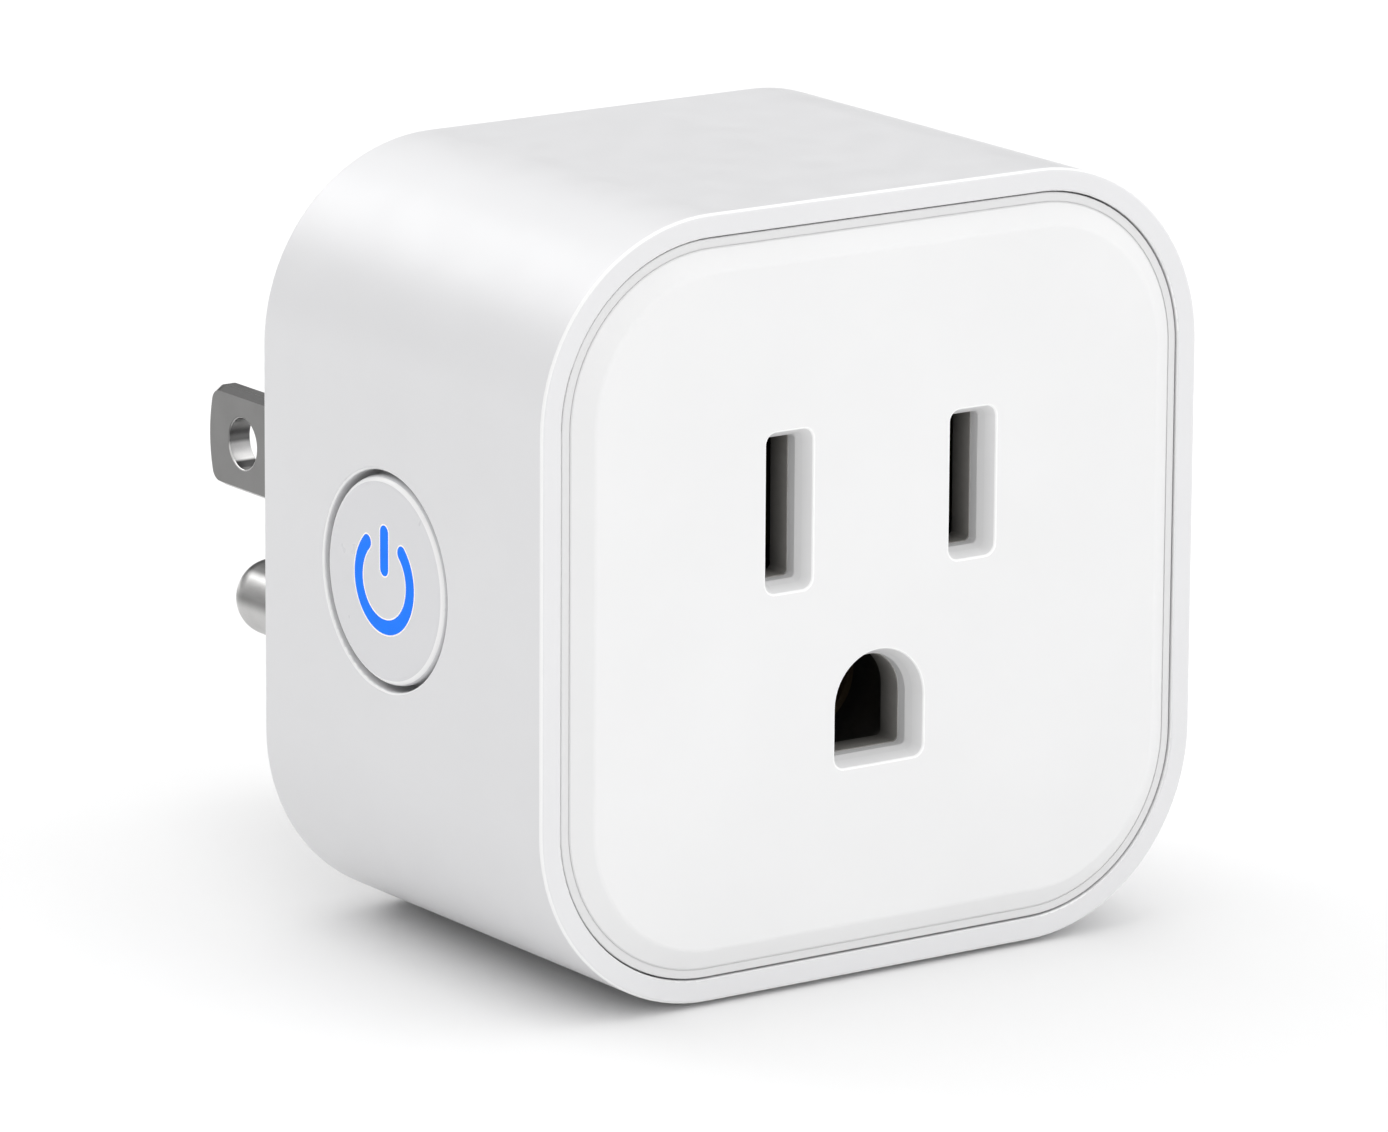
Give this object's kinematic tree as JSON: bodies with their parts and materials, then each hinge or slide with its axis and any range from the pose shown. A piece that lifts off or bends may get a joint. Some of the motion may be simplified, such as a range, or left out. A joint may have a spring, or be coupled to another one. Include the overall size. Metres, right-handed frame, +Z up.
{
  "type": "smart plug",
  "caption": "Compact square smart plug: bevelled outlet face in front, flat blades and a round ground pin behind, and a round side button with a lit power symbol.",
  "frame": {"origin": "middle of the raised rear pad, on the plane that meets the wall plate", "axes": "+Y into the wall along the plug's blades, -Y out of the outlet face towards the user, +Z up, push button on the -X side"},
  "size_m": [0.0452, 0.0532, 0.0452],
  "materials": {
    "shell_white": "fine satin moulded surface",
    "panel_white": "satin moulded surface",
    "button_white": "satin moulded surface",
    "symbol_blue": "translucent inlay, lit from behind",
    "carrier_dark": "moulded heat-resistant resin",
    "contact_brass": "stamped spring strip",
    "strap_copper": "stamped copper strap",
    "blade_nickel": "nickel plated, brushed",
    "pin_nickel": "nickel plated, turned",
    "board_green": "solder mask over glass fibre",
    "module_board": "blue solder mask",
    "relay_black": "moulded",
    "relay_blue": "moulded cover",
    "relay_steel": "plated soft iron",
    "bobbin_plastic": "moulded",
    "coil_copper": "enamelled wire winding",
    "solder_tin": "tinned",
    "shield_steel": "tinned sheet",
    "capacitor_sleeve": "shrink sleeve",
    "ferrite": "sintered",
    "film_yellow": "moulded box",
    "varistor_blue": "dipped coating",
    "fuse_body": "coated",
    "chip_black": "moulded package",
    "plunger_black": "moulded",
    "lamp_lens": "moulded lens",
    "guide_clear": "translucent",
    "screw_steel": "zinc plated"
  },
  "bodies": {
    "housing": {"housing_sleeve": "shell_white", "front_panel": "panel_white", "rear_cover": "shell_white", "contact_carrier": "carrier_dark", "contact_base": "carrier_dark", "neutral_contact": "contact_brass", "line_contact": "contact_brass", "ground_contact": "contact_brass", "neutral_blade": "blade_nickel", "line_blade": "blade_nickel", "ground_pin": "pin_nickel", "neutral_busbar": "strap_copper", "ground_strap": "strap_copper", "main_board": "board_green", "relay_base": "relay_black", "relay_cover": "relay_blue", "relay_pins": "solder_tin", "relay_yoke": "relay_steel", "relay_core": "relay_steel", "relay_bobbin": "bobbin_plastic", "relay_winding": "coil_copper", "relay_fixed_contact": "contact_brass", "wifi_board": "module_board", "wifi_shield": "shield_steel", "wifi_header": "solder_tin", "bulk_capacitors": "capacitor_sleeve", "power_inductor": "ferrite", "inductor_coil": "coil_copper", "film_capacitor": "film_yellow", "varistor": "varistor_blue", "fuse": "fuse_body", "bridge_rectifier": "chip_black", "power_regulator": "chip_black", "button_board": "board_green", "button_header": "solder_tin", "tact_switch_base": "chip_black", "tact_switch_cover": "shield_steel", "indicator_leds": "lamp_lens", "light_guide": "guide_clear", "cover_screws": "screw_steel", "board_screws": "screw_steel", "carrier_screws": "screw_steel"},
    "button": {"button_cap": "button_white", "power_symbol": "symbol_blue"},
    "switch_plunger": {"tact_switch_plunger": "plunger_black"},
    "armature": {"relay_armature": "relay_steel", "relay_moving_contact": "contact_brass"}
  },
  "joints": [
    {"name": "button_press", "type": "slide", "parent": "housing", "child": "button", "axis": [1, 0, 0], "range_m": [0, 0.0003], "stiffness_N_per_m": 3000, "springref_m": -0.0003},
    {"name": "switch_travel", "type": "slide", "parent": "housing", "child": "switch_plunger", "axis": [1, 0, 0], "range_m": [0, 0.0003]},
    {"name": "armature_pull", "type": "hinge", "parent": "housing", "child": "armature", "pos_m": [0.0156, -0.0205, 0.0076], "axis": [1, 0, 0], "range_deg": [0, 1.9], "stiffness_Nm_per_rad": 0.05, "springref_deg": -1.72}
  ],
  "couplings": [
    {"joint": "switch_travel", "follows": "button_press", "ratio": 1}
  ]
}
